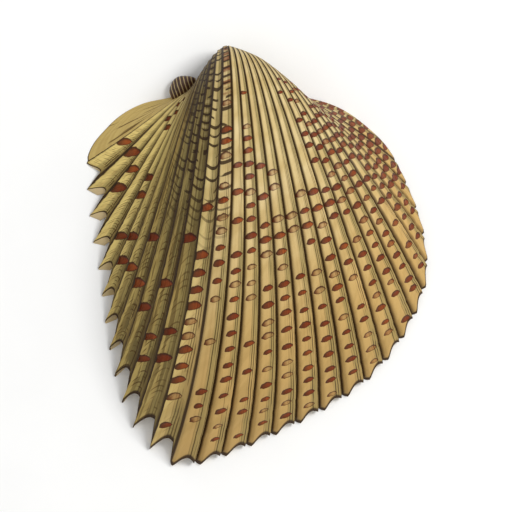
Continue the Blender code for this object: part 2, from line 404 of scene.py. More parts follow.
def fleck_chance(rib, reach):
    """How likely it is that a bead is a fleck, this share of the way from the beak to the margin."""
    if rib in EARLY_RIBS:
        return mix(0.3, 0.95, smooth(0.3, 0.4, reach)) * (1 - 0.35 * smooth(0.55, 0.7, reach))
    if rib in SPECKLED_RIBS and reach < 0.42:
        return 0.8 * smooth(0.22, 0.26, reach)
    if rib < FIRST_MIDDLE_RIB:
        return 0.36 * smooth(0.42, 0.75, reach)
    middle = 0.95 * smooth(0.36, 0.7, reach + 0.05 * math.sin(2.1 * rib))
    front = 0.97 * smooth(0.2, 0.38, reach)
    return mix(middle, front, smooth(17.5, 21.5, rib))


per_rib = RIB_COLUMNS * FINER


def bead_column(rib):
    """The fine column that runs through the flecks of a rib, or of a row past the last rib."""
    past_ribs = (rib + FLECK_MIDDLE - RIBS) / BACK_PLACES * BACK_COLUMNS * FINER
    return np.where(rib < RIBS, (rib + FLECK_MIDDLE) * per_rib, RIBS * per_rib + past_ribs)


beads = []
for rib in range(FLECK_ROWS):
    line = places[:fine_outer + 1, int(bead_column(rib))]
    length = np.linalg.norm(np.diff(line, axis=0), axis=1).sum() / MM
    reach = fleck_dice.uniform(*FLECK_START)
    while reach < FLECK_END:
        if fleck_dice.random() < fleck_chance(rib, reach):
            beads.append((rib, reach, fleck_dice.uniform(*UNEVEN_SIZE), fleck_dice.random()))
        widest = HIND_SPACING if rib < FIRST_MIDDLE_RIB else mix(*FRONT_SPACING, smooth(19, 25, rib))
        reach += mix(BEAK_SPACING, widest, reach) * fleck_dice.uniform(*UNEVEN_SPACING) / length
print(len(beads), "beads are flecks")

# %% [markdown]
# ## A place on the curved surface
# A fleck's middle seldom falls on a point of the net. Blender could find the nearest place on a
# mesh, but the mesh hasn't got its new points yet. So a helper reads the surface between four
# points of the net, and another gives arrows the length of one.

# %% Places between points
def on_surface(row, column):
    """The outer surface between its rows and columns."""
    row, column = np.clip(row, 0, fine_outer - 0.001), np.clip(column, 0, fine_columns - 1.001)
    i, j = row.astype(int), column.astype(int)
    down, along = (row - i)[:, None], (column - j)[:, None]
    above, below = (mix(places[k, j], places[k, j + 1], along) for k in (i, i + 1))
    return mix(above, below, down)


def unit(vectors):
    return vectors / np.linalg.norm(vectors, axis=-1, keepdims=True)


top = on_surface(np.array([fine_outer / 2]), np.array([15.5 * per_rib]))[0] / MM
print("half way down the middle rib:", np.round(top, 1), "mm")

# %% [markdown]
# ## Which way each fleck lies
# On a curved surface, right and down differ from place to place. So each fleck gets its own middle
# on the surface and two directions there: the long one rises to the right in the picture, the more
# so the nearer it is to the front end, and the short one runs down the rib. Neither half-length is
# ever more than its rib has room for. Flecks that would hang over the margin are dropped.

# %% Fleck directions
BEAD_LENGTH, BEAD_ROOM, BEAD_SHORT = (0.92, 1.6), (0.40, 0.46), (0.74, 0.6)  # middle and hind ribs
HIND_BEADS, FRONT_BEADS, FRONT_GROWTH = (9.5, 12.5), (24, 29), 1.25
RISE_RIBS, RISES = (0, 9, 12, 20, 26, 33), (8, 8, 20, 26, 36, 40)  # degrees at these ribs
MOST_SLANT, LEAST_TURN = 1.1, 0.15
ROWS_TO_MARGIN = 2.5  # a whole fleck keeps this far off it
bead_rib, bead_reach, bead_scale, bead_kind = np.array(beads).T
column = bead_column(bead_rib)
bead_size = bead_reach / (1 - fine.notch[np.rint(column).astype(int)])
row = TIP_ROWS + (bead_size - FIRST_SIZE) / (1 - FIRST_SIZE) * (fine_outer - TIP_ROWS)
whole = row < fine_outer - ROWS_TO_MARGIN
row, column, bead_rib, bead_scale, bead_kind = (
    numbers[whole] for numbers in (row, column, bead_rib, bead_scale, bead_kind))
bead_middle = on_surface(row, column)
down_rib = unit(on_surface(row + 2, column) - on_surface(row - 2, column))
rib_step = (on_surface(row, column + 3) - on_surface(row, column - 3)) * per_rib / 6
across_rib = unit(rib_step)
rise = np.radians(np.interp(bead_rib, RISE_RIBS, RISES))
aim = np.stack([np.cos(rise), np.sin(rise)], axis=-1)
turned = aim[:, 0] * down_rib[:, 1] - aim[:, 1] * down_rib[:, 0]
bowed = across_rib[:, 0] * aim[:, 1] - across_rib[:, 1] * aim[:, 0]
turned = np.where(np.abs(turned) < LEAST_TURN, LEAST_TURN, turned)
slant = np.clip(bowed / turned, -MOST_SLANT, MOST_SLANT)
bead_along = unit(across_rib + slant[:, None] * down_rib)
bead_out = unit(np.cross(across_rib, down_rib))
bead_down = np.cross(bead_out, bead_along)
bead_down *= np.sign((bead_down * down_rib).sum(axis=1))[:, None]
hind_bead = 1 - smooth(*HIND_BEADS, bead_rib)
bead_long = bead_scale * mix(*BEAD_LENGTH, hind_bead) * MM
bead_long *= mix(1, FRONT_GROWTH, smooth(*FRONT_BEADS, bead_rib))
bead_long = np.minimum(bead_long, mix(*BEAD_ROOM, hind_bead) * np.linalg.norm(rib_step, axis=1))
bead_short = bead_long * mix(*BEAD_SHORT, hind_bead)
half_lengths = np.round(np.percentile(bead_long, (5, 50, 95)) / MM, 2)
print(len(bead_rib), "flecks are whole, half-lengths", half_lengths, "mm")

# %% [markdown]
# ## Swell the flecks
# The flecks stand a little proud of their ribs. Every point of the outside looks for the nearest
# fleck of its rib and rises outwards if it lies on it. The side of a fleck towards the beak is
# arched, and the other side is nearly flat. A bump in the material would cost nothing, but it
# wouldn't be in the mesh, so the points are moved.

# %% Fleck relief
BEAD_FLAT, BEAD_BLUNT, BEAD_RELIEF, BEAD_EDGE = 1.9, 3.0, 0.16, 0.8


def nearest_bead(rib, spots):
    """For points of one rib: which of the flecks is nearest, and the point's place on it."""
    own = np.flatnonzero(bead_rib == rib)
    away = spots[:, None, :] - bead_middle[own]
    u, v = ((away * axis[own]).sum(axis=2) / half[own]
            for axis, half in ((bead_along, bead_long), (bead_down, bead_short)))
    best = np.argmin(u ** 2 + v ** 2, axis=1)
    rows = np.arange(len(spots))
    return own[best], u[rows, best], v[rows, best]


outer_rows = places[:fine_outer + 1]
swelling = np.zeros(outer_rows.shape[:2])
for rib in np.unique(bead_rib[bead_rib < RIBS]).astype(int):
    columns = slice(rib * per_rib, (rib + 1) * per_rib + 1)
    spots = outer_rows[:, columns]
    _, u, v = nearest_bead(rib, spots.reshape(-1, 3))
    bulge = smooth(0, BEAD_EDGE, 1 - np.abs(u) ** BEAD_BLUNT - np.maximum(BEAD_FLAT * v, -v))
    swelling[:, columns] = np.maximum(swelling[:, columns], bulge.reshape(spots.shape[:2]))
row_steps, column_steps = np.gradient(outer_rows, axis=(0, 1))
outward = unit(np.cross(column_steps, row_steps) + 1e-15)
places[:fine_outer + 1] += outward * (swelling * BEAD_RELIEF * MM * fine.fade)[..., None]
places[:, -1] = places[:, 0]
print("swollen:", int((swelling > 0).sum()), "points, by up to", BEAD_RELIEF, "mm")

# %% [markdown]
# ## The inside of the wall
# Inside, the wall has short furrows near the margin that answer the ribs. On the back, under the
# beak, it thickens to the hinge plate. Two shallow scars show where the muscles held that pulled
# the valves shut. A Solidify modifier would give one thickness all over and would cross itself in
# the narrow beak. So each inner point is laid off from the margin towards the middle, and then
# grown by the same rule as the outside.

# %% Inner surface
MIDDLE = np.array((0.0, -2.0))  # the wall's thickness is laid off towards this place
WALL, HINGE_WALL, HOLLOW_HINGE_WALL, MOST_INWARD = 2.0, 4.3, 2.6, 0.8
HINGE_RECESS, RECESS_SIZES = 1.4, (0.3, 1.0)
PLATE_SIZES, NOTCH_SIZES = (0.5, 0.72), (0.75, 1.0)
FURROW_DEPTH, FURROW_SIZES = 0.55, (0.74, 1.0)
MUSCLE_SCARS = ((2.6, 0.72, 2.4, 0.11), (27.2, 0.72, 2.6, 0.11))  # rib, size, half-widths of both
SCAR_DEPTH, SCAR_EDGE = 0.25, 0.4


def inner_place(size):
    """The inner surface on one growth line, in metres."""
    plate = smooth(*PLATE_SIZES, size)
    wall = mix(mix(WALL, HOLLOW_HINGE_WALL, fine.hinge), mix(WALL, HINGE_WALL, fine.hinge), plate)
    for place, at, wide, high in MUSCLE_SCARS:
        off = ((fine.place - place) / wide) ** 2 + ((size - at) / high) ** 2
        wall = wall - SCAR_DEPTH * smooth(0, SCAR_EDGE, 1 - off) * (fine.back == 0)
    inward = MIDDLE - fine.edge
    length = np.linalg.norm(inward, axis=1)
    step = np.minimum(wall / size, MOST_INWARD * length)
    furrow = FURROW_DEPTH * (rib_profile(fine.across) + 0.5) * fine.fade * smooth(*FURROW_SIZES, size)
    point = fine.edge + inward / length[:, None] * step[:, None] + fine.normal * furrow[:, None]
    place = grown(fine, point, size, fine.notch * smooth(*NOTCH_SIZES, size))
    place[:, 2] += MM * HINGE_RECESS * fine.hinge * smooth(*RECESS_SIZES, size)
    return place


rim_outside, rim_inside = places[fine_outer], inner_place(1.0)
rim_widths = np.linalg.norm(rim_inside - rim_outside, axis=1) / MM
print("the rim is", round(rim_widths.min(), 1), "to", round(rim_widths.max(), 1), "mm wide")

# %% [markdown]
# ## Lay the rim, the inside and the roof
# Now the rest of the net gets its places: the rim crosses the wall's thickness, then the lines
# climb to the hollow under the beak and close there in a smooth dome. One filled face would leave a
# hard edge there. The places go into the mesh all at once, point by point.

# %% Rim, inside and roof
DOME_ROWS, ROOF_RISE, RIM_BLEND = 6, 1.2, 1.4
INNER_SIZES = (1.0, 0.93, 0.84, 0.72, 0.59, 0.46, 0.35, 0.27)  # growth lines met on the way up
climb_rows = fine_inner - DOME_ROWS
for k in range(1, fine_rim + 1):
    share = k / fine_rim
    places[fine_outer + k] = mix(rim_outside, rim_inside, share ** RIM_BLEND)
    line_size[fine_outer + k] = 1.0
for k in range(1, climb_rows + 1):
    size = np.interp(k / climb_rows * (len(INNER_SIZES) - 1), range(len(INNER_SIZES)), INNER_SIZES)
    places[fine_outer + fine_rim + k] = inner_place(size)
    line_size[fine_outer + fine_rim + k] = size
roof_row = fine_outer + fine_rim + climb_rows
roof_ring, roof_below = places[roof_row], places[roof_row - FINER]
roof_middle = roof_ring[:-1].mean(axis=0)
roof_up = roof_middle - roof_below[:-1].mean(axis=0)
roof_up *= ROOF_RISE * MM / np.linalg.norm(roof_up)
for k in range(1, DOME_ROWS + 1):
    angle = 0.5 * math.pi * k / DOME_ROWS
    places[roof_row + k] = (roof_middle + (roof_ring - roof_middle) * math.cos(angle)
                            + roof_up * math.sin(angle))
    line_size[roof_row + k] = INNER_SIZES[-1] * math.cos(angle)
valve.data.vertices.foreach_set("co", places[line_of, column_of].astype(np.float32).ravel())
valve.data.update()
print("valve spans", np.round(np.ptp(places, axis=(0, 1)) * 1000, 2), "mm")

# %% [markdown]
# ## Three maps for the colours
# The colours of a shell are laid down at its growing edge. Object coordinates would cut straight
# through it, so three UV maps, made from the net itself, carry what the colours follow. The first
# holds the place among the ribs and the size of the growth line. The second holds each point's
# place on the nearest fleck, counted in the fleck's own half-lengths. The third has lines that run
# straight across a rib, without its tooth, and a random number for each fleck. Each corner of a
# face has its own values, so the column that was left open shows no seam.

# %% UV maps
PLACES, FAR_OFF = 50.0, 9.0
map_names = ("rib_and_size", "on_fleck", "straight_and_kind")
for name in map_names:
    valve.data.uv_layers.new(name=name)
corner_vert = np.zeros(len(valve.data.loops), int)
valve.data.loops.foreach_get("vertex_index", corner_vert)
corner_column, corner_line = column_of[corner_vert], line_of[corner_vert]
corner_place = np.where(fine.back > 0, RIBS + BACK_PLACES * fine.back, fine.place)[corner_column]
corner_size = line_size[corner_line]
corner_spot = places[corner_line, corner_column]
face_rib = np.floor(corner_place.reshape(-1, 4).mean(axis=1))
face_rib = np.where(corner_line.reshape(-1, 4).max(axis=1) > fine_outer, -1, face_rib)
face_middle = corner_spot.reshape(-1, 4, 3).mean(axis=1)
on_fleck = np.full((len(corner_vert), 2), FAR_OFF)
kind = np.zeros(len(corner_vert))
for rib in np.unique(bead_rib):
    faces = np.flatnonzero(face_rib == rib)
    best, _, _ = nearest_bead(rib, face_middle[faces])
    corners = (4 * faces[:, None] + np.arange(4)).ravel()
    best = np.repeat(best, 4)
    away = corner_spot[corners] - bead_middle[best]
    on_fleck[corners, 0] = (away * bead_along[best]).sum(axis=1) / bead_long[best]
    on_fleck[corners, 1] = (away * bead_down[best]).sum(axis=1) / bead_short[best]
    kind[corners] = bead_kind[best]
inside_or_out = np.where(corner_line > fine_outer, 2 - corner_size, corner_size)
map_rows = {
    "rib_and_size": (corner_place / PLACES, inside_or_out),
    "on_fleck": on_fleck.T,
    "straight_and_kind": (corner_size * (1 - fine.notch[corner_column]), kind),
}
for name, rows in map_rows.items():
    row_pairs = np.stack(rows, axis=-1).astype(np.float32)
    valve.data.uv_layers[name].uv.foreach_set("vector", row_pairs.ravel())
print("mapped", len(corner_vert), "corners")

# %% [markdown]
# ## Close the seam and the two poles
# The points of the open column lie on each other, and so do all points at the tip of the beak and
# at the top of the hollow. They could be stitched one by one, but merging by distance joins them
# all, and the shell is one closed skin. Faces from the margin inwards get the second material.

# %% Close
first_corner = np.zeros(len(valve.data.polygons), int)
valve.data.polygons.foreach_get("loop_start", first_corner)
lowest_line = np.minimum.reduce([corner_line[first_corner + k] for k in range(4)])
valve.data.polygons.foreach_set("material_index", (lowest_line >= fine_outer).astype(np.int32))
bpy.ops.object.mode_set(mode="EDIT")
bpy.ops.mesh.select_all(action="SELECT")
bpy.ops.mesh.remove_doubles(threshold=1e-7)
bpy.ops.mesh.normals_make_consistent(inside=False)
bpy.ops.object.mode_set(mode="OBJECT")
bm = bmesh.new()
bm.from_mesh(valve.data)
open_edges = sum(not e.is_manifold for e in bm.edges)
print("open edges:", open_edges, "volume", round(bm.calc_volume() / MM ** 3), "mm3")
bm.free()

# %% [markdown]
# ## Fit to the solid's box
# The relief differs from the plain solid's by hundredths of a millimetre. The object could be
# scaled, but its scale has to stay at one. So the points themselves are drawn in by that much, and
# the valve stays in the packed solid's box and rests on the floor.

# %% Fit
SPARE = 0.01 * MM


def fit_into(piece, node, spare=SPARE):
    """Scales and shifts a mesh so that its box lies just inside the node's."""
    low, high = (np.array(corner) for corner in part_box(node))
    co = np.zeros(len(piece.data.vertices) * 3, np.float32)
    piece.data.vertices.foreach_get("co", co)
    co = co.reshape(-1, 3).astype(float)
    ours_low, ours_high = co.min(axis=0), co.max(axis=0)
    scale = (high - low - 2 * spare) / (ours_high - ours_low)
    co = (co - ours_low) * scale + low + spare
    co[:, 2] -= spare
    piece.data.vertices.foreach_set("co", co.astype(np.float32).ravel())
    piece.data.update()
    print(piece.name, "scaled by", np.round(scale, 4))


fit_into(valve, "valve")

# %% [markdown]
# ## Hinge teeth
# A cockle's hinge has two small teeth under the beak and a long low one on either side of them.
# They lock into pits in the other valve. They could be pulled out of the plate's own faces, but the
# columns there are too wide apart. So each starts as a sphere of its own proportions, half sunk in
# the hinge plate. In edit mode its outer half is drawn to a blunt ridge, and the four are joined to
# the valve's mesh, because on the real shell they are one piece with it.

# %% Hinge teeth
HINGE_TEETH = (
    ((-3.3, 20.8, 1.4), (0.95, 1.5, 1.3), -14),
    ((-6.6, 20.8, 1.4), (0.75, 1.2, 1.2), 12),
    ((6.4, 20.5, 1.5), (2.5, 0.75, 1.3), -8),
    ((-14.4, 20.6, 1.5), (2.2, 0.7, 1.3), 16),
)  # middle, half sizes, turn in degrees
RIDGE = 0.8  # how much narrower a tooth is at its ridge
TOOTH_MAP_SPOT = (0.8, 1.02)  # the teeth take the colour that the inside has here
hinge_teeth = []
for middle, half, turn in HINGE_TEETH:
    clear_selection()
    at = Vector((np.array(middle) - BOX_MIDDLE) * MM)
    bpy.ops.mesh.primitive_uv_sphere_add(segments=28, ring_count=16, radius=MM, location=at)
    tooth = bpy.context.object
    bpy.ops.object.transform_apply(location=True, rotation=True, scale=True)
    bpy.ops.object.mode_set(mode="EDIT")
    bpy.ops.mesh.select_all(action="SELECT")
    bpy.ops.transform.resize(value=half, center_override=at)
    bpy.ops.transform.rotate(value=-math.radians(turn), orient_axis="Z", center_override=at)
    bm = bmesh.from_edit_mesh(tooth.data)
    for vert in bm.verts:
        vert.select = vert.co.z < at.z - 0.5 * half[2] * MM
    bm.select_flush(True)
    bmesh.update_edit_mesh(tooth.data)
    bpy.ops.transform.resize(value=(RIDGE, RIDGE, 1.0), center_override=at)
    bpy.ops.object.mode_set(mode="OBJECT")
    for name in map_names:
        layer = tooth.data.uv_layers.get(name) or tooth.data.uv_layers.new(name=name)
        spots = np.tile(TOOTH_MAP_SPOT, len(tooth.data.loops)).astype(np.float32)
        layer.uv.foreach_set("vector", spots)
    hinge_teeth.append(tooth)
print(len(hinge_teeth), "hinge teeth")

# %% [markdown]
# ## The ligament
# The ligament is the dark horny band behind the beak that springs the valves apart. It is a short
# arched pad with lines of growth across it. A stretched ball would be quicker, but its lines would
# meet at its ends like an orange's. So the pad is a row of rings along a bowed line. Every ring is
# swollen or drawn in, which rounds its back and ends, and eight shallow furrows cross it.

# %% Ligament form
LIGAMENT_FROM, LIGAMENT_TO = np.array((-8.85, 26.3, 1.2)), np.array((-12.75, 24.0, 1.1))
LIGAMENT_ARCH, LIGAMENT_WIDTH, LIGAMENT_HEIGHT, LIGAMENT_BANDS = 0.5, 2.2, 2.1, 8
LIGAMENT_LATE, LIGAMENT_BLUNT, LIGAMENT_TIP = 1.4, 0.45, 1.6
LIGAMENT_SIDES, LIGAMENT_RINGS = 32, 66
LIGAMENT_ROOT = 0.9  # how far its inner side reaches on, to grip the valve
LIGAMENT_SLANT, LIGAMENT_FURROW = 0.4, 0.05
ligament_run = (LIGAMENT_TO - LIGAMENT_FROM) / np.linalg.norm(LIGAMENT_TO - LIGAMENT_FROM)
ligament_side = -np.cross(ligament_run, (0, 0, 1))
ligament_side *= np.sign(ligament_side[1]) / np.linalg.norm(ligament_side)
angles = 2 * np.pi * np.arange(LIGAMENT_SIDES) / LIGAMENT_SIDES


def ligament_ring(ring):
    """The places of one ring's points, in metres."""
    share = (ring + LIGAMENT_TIP) / (LIGAMENT_RINGS - 1 + 2 * LIGAMENT_TIP)
    arch = math.sin(math.pi * share ** LIGAMENT_LATE)
    swell = arch ** LIGAMENT_BLUNT
    wave = math.cos(2 * math.pi * LIGAMENT_BANDS * share)
    furrow = 1 - LIGAMENT_FURROW * (0.5 + 0.5 * wave) ** 3
    middle = mix(LIGAMENT_FROM, LIGAMENT_TO, share) + ligament_side * LIGAMENT_ARCH * arch
    sideways = np.cos(angles)[:, None]
    out = sideways * ligament_side * LIGAMENT_WIDTH
    up = np.sin(angles)[:, None] * np.array((0, 0, 1)) * LIGAMENT_HEIGHT
    slant = -LIGAMENT_SLANT * swell * sideways * ligament_run
    root = np.clip(-sideways, 0, 1) * ligament_side * LIGAMENT_ROOT
    return (middle + swell * (0.5 * furrow * (out + up) - root) + slant - BOX_MIDDLE) * MM


print("ligament:", LIGAMENT_RINGS, "rings of", LIGAMENT_SIDES, "points")

# %% [markdown]
# ## The ligament's first ring
# A circle filled with a fan of triangles becomes the end that lies nearer the beak. It could be
# left open and closed at the end, but then its middle point would have to be found again. A number
# layer called "along" will keep how far each ring has come, because the pale stripes need it.

# %% Ligament start
CAP_BULGE = 0.1
clear_selection()
bpy.ops.mesh.primitive_circle_add(vertices=LIGAMENT_SIDES, radius=MM, fill_type="TRIFAN")
ligament = bpy.context.object
ligament.name = ligament.data.name = "shell_ligament"
ligament.data.attributes.new("along", "FLOAT", "POINT")
bpy.ops.object.mode_set(mode="EDIT")
bm = bmesh.from_edit_mesh(ligament.data)
bm.verts.ensure_lookup_table()
rim_verts = [v for v in bm.verts if len(v.link_edges) == 3]
middle_vert = next(v for v in bm.verts if len(v.link_edges) != 3)
rim_verts.sort(key=lambda v: math.atan2(v.co.y, v.co.x) % (2 * math.pi))
ring = ligament_ring(0)
for vert, co in zip(rim_verts, ring):
    vert.co = co
middle_vert.co = ring.mean(axis=0) - ligament_run * CAP_BULGE * MM
bmesh.update_edit_mesh(ligament.data)
print("ligament's first ring is", np.round(np.ptp(ring, axis=0) / MM, 2), "mm")

# %% [markdown]
# ## Extrude the ligament
# The open edge is extruded ring by ring, and each new point goes to its place on the next ring. A
# curve with a bevel could make the tube in one step, but its rings would all be round and upright,
# and these lean and reach on towards the valve. The last ring is closed with a face, and poking
# that face makes a fan.

# %% Ligament
bpy.ops.mesh.select_all(action="DESELECT")
bpy.ops.mesh.select_mode(type="EDGE")
bm = bmesh.from_edit_mesh(ligament.data)
for edge in bm.edges:
    edge.select = edge.is_boundary
bmesh.update_edit_mesh(ligament.data)
before = ring
for number in range(1, LIGAMENT_RINGS):
    after = ligament_ring(number)
    bpy.ops.mesh.extrude_edges_indiv()
    bm = bmesh.from_edit_mesh(ligament.data)
    along_layer = bm.verts.layers.float["along"]
    for vert in bm.verts:
        if vert.select:
            nearest = int(np.argmin(np.linalg.norm(before - np.array(vert.co), axis=1)))
            vert.co = after[nearest]
            vert[along_layer] = number / (LIGAMENT_RINGS - 1)
    bmesh.update_edit_mesh(ligament.data)
    before = after
bpy.ops.mesh.edge_face_add()
bpy.ops.mesh.poke()
bpy.ops.mesh.select_mode(type="VERT")
bpy.ops.mesh.select_all(action="SELECT")
bpy.ops.mesh.normals_make_consistent(inside=False)
bpy.ops.object.mode_set(mode="OBJECT")
bpy.ops.object.shade_smooth()
print("ligament:", len(ligament.data.polygons), "faces")

# %% [markdown]
# ## Paint
# Colours are given as a painter's 0 to 255 values, as seen on a screen. A shader counts in light,
# so the values can't be used as they are: mid grey on the screen is a fifth of white's light.

# %% Paint
def paint(red, green, blue):
    """A screen colour as the linear colour that a shader takes."""
    shares = [c / 255 for c in (red, green, blue)]
    return (*[s / 12.92 if s <= 0.04045 else ((s + 0.055) / 1.055) ** 2.4 for s in shares], 1.0)


print("screen mid grey is", round(paint(128, 128, 128)[0], 3), "in linear light")

# %% [markdown]
# ## Node helpers
# A material here is a small piece of arithmetic. Its nodes could be linked by hand, but that takes
# several lines for each sum. These helpers add one node each and give back its output, so that a
# recipe reads like a sum. Coats of colour are laid one over another.

# %% Node helpers
class Recipe:
    """Adds nodes to one tree. Each call gives back the output that is used next."""

    def __init__(self, tree):
        self.tree = tree

    def node(self, kind, inputs=None, **settings):
        made = self.tree.nodes.new("ShaderNode" + kind)
        for key, value in settings.items():
            setattr(made, key, value)
        for key, value in (inputs or {}).items():
            self.set(made.inputs[key], value)
        return made

    def set(self, socket, value):
        if isinstance(value, bpy.types.NodeSocket):
            self.tree.links.new(value, socket)
        else:
            socket.default_value = value

    def math(self, operation, a, b=0.0):
        return self.node("Math", {0: a, 1: b}, operation=operation).outputs[0]

    def times(self, first, *others):
        for other in others:
            first = self.math("MULTIPLY", first, other)
        return first

    def rest(self, value):
        return self.math("SUBTRACT", 1.0, value)

    def step(self, low, high, value):
        """0 below low, 1 above high, and an S-curve between."""
        made = self.node("MapRange", {"Value": value, "From Min": low, "From Max": high})
        made.interpolation_type = "SMOOTHSTEP"
        return made.outputs[0]

    def window(self, a, b, c, d, value):
        """0 below a, 1 from b to c, and 0 above d."""
        return self.times(self.step(a, b, value), self.rest(self.step(c, d, value)))

    def blend(self, share, a, b):
        made = self.node("Mix", data_type="RGBA")
        for socket, value in zip((made.inputs[0], made.inputs[6], made.inputs[7]), (share, a, b)):
            self.set(socket, value)
        return made.outputs[2]

    def coats(self, ground, *coats):
        """Lays each coat of colour, given as (how much of it shows, colour), over those before."""
        for share, colour in coats:
            ground = self.blend(share, ground, colour)
        return ground

    def at(self, x, y, z=0.0):
        return self.node("CombineXYZ", {0: x, 1: y, 2: z}).outputs[0]

    def noise(self, vector, scale, detail=2.0, roughness=0.5):
        inputs = {"Vector": vector, "Scale": scale, "Detail": detail, "Roughness": roughness}
        return self.node("TexNoise", inputs).outputs[0]

    def fine_noise(self, x, y, z, detail=2.0):
        """Noise that runs along the map's own directions, so x and y are already scaled."""
        return self.noise(self.at(x, y, z), 1.0, detail)

    def split_map(self, name):
        made = self.node("SeparateXYZ", {0: self.node("UVMap", uv_map=name).outputs[0]})
        return made.outputs[0], made.outputs[1]


print("a recipe can:", ", ".join(word for word in vars(Recipe) if not word.startswith("_")))

# %% [markdown]
# ## Helpers for groups and materials
# A node group is a tree of its own with named sockets. A material starts with the Principled BSDF,
# and its bump gives the surface a fine relief that is too small to model.

# %% Group and material helpers
def new_group(name, inputs, outputs):
    """A shader node group with named number inputs and outputs, and a Recipe for its tree."""
    tree = bpy.data.node_groups.new(name, "ShaderNodeTree")
    for socket, default in inputs.items():
        made = tree.interface.new_socket(socket, in_out="INPUT", socket_type="NodeSocketFloat")
        made.default_value = default
    for socket in outputs:
        tree.interface.new_socket(socket, in_out="OUTPUT", socket_type="NodeSocketFloat")
    group_in, group_out = (tree.nodes.new("NodeGroup" + kind) for kind in ("Input", "Output"))
    return tree, Recipe(tree), group_in.outputs, group_out.inputs


def new_material(name):
    material = bpy.data.materials.new(name)
    material.use_nodes = True
    return material, Recipe(material.node_tree), material.node_tree.nodes["Principled BSDF"]


def use_group(recipe, tree, **inputs):
    """The outputs of a group that is used in a material, with its named inputs set or linked."""
    made = recipe.node("Group")
    made.node_tree = tree
    for key, value in inputs.items():
        recipe.set(made.inputs[key.capitalize()], value)
    return made.outputs


def add_bump(recipe, shader, height, strength, distance):
    """Gives a material a fine relief. The distance is in millimetres."""
    bump = recipe.node("Bump", {"Strength": strength, "Distance": distance * MM, "Height": height})
    recipe.set(shader.inputs["Normal"], bump.outputs[0])


print("helpers:", ", ".join(made.__name__ for made in (new_group, new_material, use_group, add_bump)))

# %% [markdown]
# ## Growth lines and chalky grain as node groups
# Two effects are on more than one surface. Fine growth lines cross every rib and also the inside. A
# chalky grain roughens what isn't polished. They could be copied into every material, but a node
# group is made once, and each material uses it at its own strength.

# %% Node groups
growth_group, r, given, result = new_group(
    "growth_lines", {"Spacing": 1.0, "Size": 1.0, "Rib": 0.0}, ("Height", "Tint"))
scaled = r.times(given["Size"], given["Spacing"])
fine_lines = r.fine_noise(r.times(scaled, 130.0), r.times(given["Rib"], 0.7), 0.0, 3.0)
broad_lines = r.fine_noise(r.times(scaled, 28.0), r.times(given["Rib"], 0.25), 4.0, 1.0)
r.set(result["Height"], fine_lines)
r.set(result["Tint"], r.step(0.42, 0.66, broad_lines))

grain_group, r, given, result = new_group("chalky_grain", {"Fineness": 1.0}, ("Height", "Mottle"))
object_place = r.node("TexCoord").outputs["Object"]
r.set(result["Height"], r.noise(object_place, r.times(given["Fineness"], 5200.0), 4.0, 0.6))
r.set(result["Mottle"], r.noise(object_place, r.times(given["Fineness"], 260.0), 4.0, 0.6))
print("node groups:", growth_group.name, "and", grain_group.name)

# %% [markdown]
# ## The outside of the valve: ground colour
# The ribs are pale cream near the beak and turn to warm ochre towards the lower edge. The hind ribs
# are straw yellow. The steep slope left of the beak is painted dark olive, partly as a stain and
# partly as painted shade, darkest near the beak, with a greenish painted shade over part of it.
# Colours laid on from above would stretch on the steep sides. So they read the map of ribs and growth
# lines, and each follows the shell round.

# %% Outside ground colour
HIND_RIBS, FRONT_RIBS, LAST_RIBS = (9.5, 12.5), (18.0, 26.0), (29.0, 32.5)  # each changes over these
SLOPE_RIBS, GREEN_SHADE_RIBS = (3.5, 8.0, 10.5, 11.2), (7.5, 8.6, 10.8, 11.6)
OCHRE_ENDS, BUFF_STARTS = (29.0, 31.0), (31.0, 37.0)
CREAM, CLAY, OCHRE = paint(205, 184, 134), paint(188, 164, 108), paint(190, 155, 94)
STRAW, BUFF, TAWNY = paint(220, 196, 120), paint(190, 165, 100), paint(156, 126, 70)
SLOPE_SHADE_OLIVE, GREEN_SHADE = paint(120, 92, 36), paint(104, 104, 70)
outside, r, shell = new_material("valve_outside")
rib_share, size = r.split_map("rib_and_size")
rib = r.times(rib_share, PLACES)
rib_number = r.math("FLOOR", rib)
across = r.math("FRACT", rib)
edge = r.math("MINIMUM", across, r.rest(across))
on_ribs = r.rest(r.step(*LAST_RIBS, rib))
hind_share = r.rest(r.step(*HIND_RIBS, rib))
front_share = r.step(*FRONT_RIBS, rib)
slope_share = r.window(*SLOPE_RIBS, rib)
grain = use_group(r, grain_group)
growth = use_group(r, growth_group, size=size, rib=rib)

lower = r.times(r.step(0.4, 0.85, size), r.rest(hind_share), r.rest(r.step(*OCHRE_ENDS, rib)))
# painted shade and a stain: the steep slope is coloured dark olive, darkest near the beak
slope_shade_and_stain = r.times(slope_share, r.math("SUBTRACT", 0.95, r.times(size, 0.55)))
# painted shade: a greenish tint on the steep slope
greenish_slope_shade = r.times(r.window(*GREEN_SHADE_RIBS, rib), r.window(0.12, 0.2, 0.5, 0.7, size))
ground = r.blend(r.step(0.25, 0.75, grain["Mottle"]), CREAM, CLAY)
ground = r.coats(
    ground,
    (lower, OCHRE),
    (r.times(hind_share, r.step(0.1, 0.5, size)), STRAW),
    (r.step(*BUFF_STARTS, rib), BUFF),
    (r.times(growth["Tint"], 0.3), TAWNY),
    (slope_shade_and_stain, SLOPE_SHADE_OLIVE),
    (r.times(greenish_slope_shade, 0.4), GREEN_SHADE),
)
print("ground colour:", len(outside.node_tree.nodes), "nodes")
